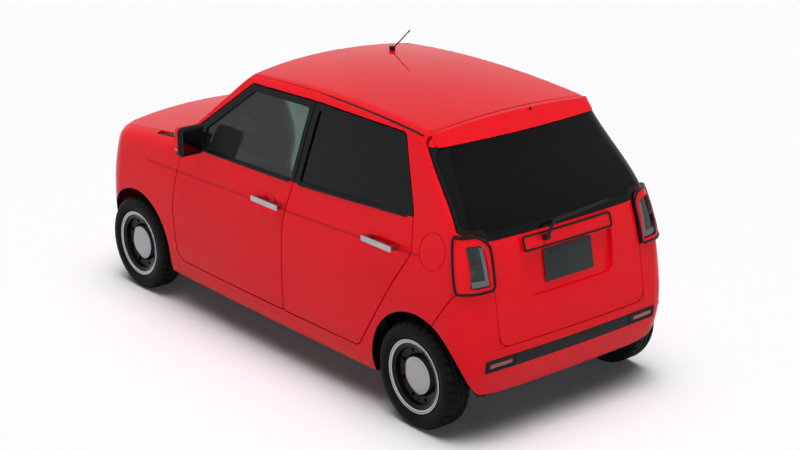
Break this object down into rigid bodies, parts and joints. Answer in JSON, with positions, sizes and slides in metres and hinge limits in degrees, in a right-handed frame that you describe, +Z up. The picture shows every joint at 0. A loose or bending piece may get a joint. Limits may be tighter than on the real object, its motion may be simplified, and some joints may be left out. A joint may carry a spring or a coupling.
{
  "type": "kei car",
  "caption": "Small tall hatchback car with side doors, a top-hinged tailgate, rounded roof, steered front wheels and a hollow cabin with seats.",
  "frame": {"origin": "on the ground under the middle of the overall length and width", "axes": "+Z up, -Y towards the nose, +X towards the car's left side"},
  "size_m": [1.735, 3.395, 1.6665],
  "materials": {
    "body_paint": "gloss clear coat",
    "underbody": "satin",
    "clear_glass": "gloss",
    "privacy_glass": "gloss",
    "black_plastic": "fine grain",
    "dark_trim": "fine grain",
    "lamp_red": "gloss",
    "lamp_clear": "gloss",
    "bright_trim": "polished",
    "wheel_silver": "satin",
    "tyre_rubber": "matte",
    "cast_metal": "rough",
    "seat_fabric": "woven"
  },
  "bodies": {
    "body": {"antenna": "black_plastic", "cowl_panel": "black_plastic", "dashboard": "dark_trim", "engine_block": "cast_metal", "exhaust": "underbody", "floor_pan": "underbody", "front_bumper": "body_paint", "front_seats": "seat_fabric", "front_structure": "underbody", "front_struts": "cast_metal", "front_subframe": "cast_metal", "front_wings": "body_paint", "front_wipers": "black_plastic", "fuel_tank": "underbody", "grille": "black_plastic", "headlamps": "lamp_clear", "rear_axle": "cast_metal", "rear_bumper": "body_paint", "rear_bumper_strip": "black_plastic", "rear_seat": "seat_fabric", "rear_springs": "cast_metal", "roof_panel": "body_paint", "side_frame_left": "body_paint", "side_frame_right": "body_paint", "tail_lamps": "lamp_red", "windscreen": "clear_glass"},
    "front_door_left": {"front_door_left": "body_paint", "front_door_glass_left": "clear_glass", "front_door_handle_left": "bright_trim", "door_mirror_left": "body_paint"},
    "rear_door_left": {"rear_door_left": "body_paint", "rear_door_glass_left": "privacy_glass", "rear_door_handle_left": "bright_trim"},
    "hub_left": {"knuckle_left": "cast_metal"},
    "wheel_front_left": {"tyre_front_left": "tyre_rubber", "wheel_front_left": "wheel_silver"},
    "wheel_rear_left": {"tyre_rear_left": "tyre_rubber", "wheel_rear_left": "wheel_silver"},
    "front_door_right": {"front_door_right": "body_paint", "front_door_glass_right": "clear_glass", "front_door_handle_right": "bright_trim", "door_mirror_right": "body_paint"},
    "rear_door_right": {"rear_door_right": "body_paint", "rear_door_glass_right": "privacy_glass", "rear_door_handle_right": "bright_trim"},
    "hub_right": {"knuckle_right": "cast_metal"},
    "wheel_front_right": {"tyre_front_right": "tyre_rubber", "wheel_front_right": "wheel_silver"},
    "wheel_rear_right": {"tyre_rear_right": "tyre_rubber", "wheel_rear_right": "wheel_silver"},
    "tailgate": {"tailgate": "body_paint", "tailgate_glass": "privacy_glass", "gate_garnish": "body_paint", "rear_wiper": "black_plastic"},
    "bonnet": {"bonnet": "body_paint"},
    "fuel_lid": {"fuel_lid": "body_paint"},
    "steering_wheel": {"steering_wheel": "dark_trim"}
  },
  "joints": [
    {"name": "front_door_left_hinge", "type": "hinge", "parent": "body", "child": "front_door_left", "pos_m": [0.735, -0.834, 0.7], "axis": [0, 0, -1], "range_deg": [0, 65]},
    {"name": "front_door_right_hinge", "type": "hinge", "parent": "body", "child": "front_door_right", "pos_m": [-0.735, -0.834, 0.7], "axis": [0, 0, 1], "range_deg": [0, 65]},
    {"name": "rear_door_left_hinge", "type": "hinge", "parent": "body", "child": "rear_door_left", "pos_m": [0.7395, 0.226, 0.7], "axis": [0, 0, -1], "range_deg": [0, 70]},
    {"name": "rear_door_right_hinge", "type": "hinge", "parent": "body", "child": "rear_door_right", "pos_m": [-0.7395, 0.226, 0.7], "axis": [0, 0, 1], "range_deg": [0, 70]},
    {"name": "tailgate_hinge", "type": "hinge", "parent": "body", "child": "tailgate", "pos_m": [0, 1.196, 1.512], "axis": [1, 0, 0], "range_deg": [0, 80]},
    {"name": "bonnet_hinge", "type": "hinge", "parent": "body", "child": "bonnet", "pos_m": [0, -0.885, 1.045], "axis": [-1, 0, 0], "range_deg": [0, 50]},
    {"name": "fuel_lid_hinge", "type": "hinge", "parent": "body", "child": "fuel_lid", "pos_m": [0.692, 1.291, 0.951], "axis": [0, 0, -1], "range_deg": [0, 100]},
    {"name": "steer_left", "type": "hinge", "parent": "body", "child": "hub_left", "pos_m": [0.6, -1.2225, 0.18], "axis": [-0.1699, 0, 0.9855], "range_deg": [-33, 33]},
    {"name": "steer_right", "type": "hinge", "parent": "body", "child": "hub_right", "pos_m": [-0.6, -1.2225, 0.18], "axis": [0.1699, 0, 0.9855], "range_deg": [-33, 33]},
    {"name": "steering_wheel_turn", "type": "hinge", "parent": "body", "child": "steering_wheel", "pos_m": [-0.34, -0.392, 0.905], "axis": [0, 0.8829, 0.4695], "range_deg": [-530, 530]},
    {"name": "front_spin_left", "type": "hinge", "parent": "hub_left", "child": "wheel_front_left", "pos_m": [0.655, -1.2225, 0.2785], "axis": [1, 0, 0], "continuous": true},
    {"name": "rear_spin_left", "type": "hinge", "parent": "body", "child": "wheel_rear_left", "pos_m": [0.655, 1.2975, 0.2785], "axis": [1, 0, 0], "continuous": true},
    {"name": "front_spin_right", "type": "hinge", "parent": "hub_right", "child": "wheel_front_right", "pos_m": [-0.655, -1.2225, 0.2785], "axis": [1, 0, 0], "continuous": true},
    {"name": "rear_spin_right", "type": "hinge", "parent": "body", "child": "wheel_rear_right", "pos_m": [-0.655, 1.2975, 0.2785], "axis": [1, 0, 0], "continuous": true}
  ],
  "couplings": [
    {"joint": "steer_right", "follows": "steer_left", "ratio": 1},
    {"joint": "steering_wheel_turn", "follows": "steer_left", "ratio": -16}
  ]
}
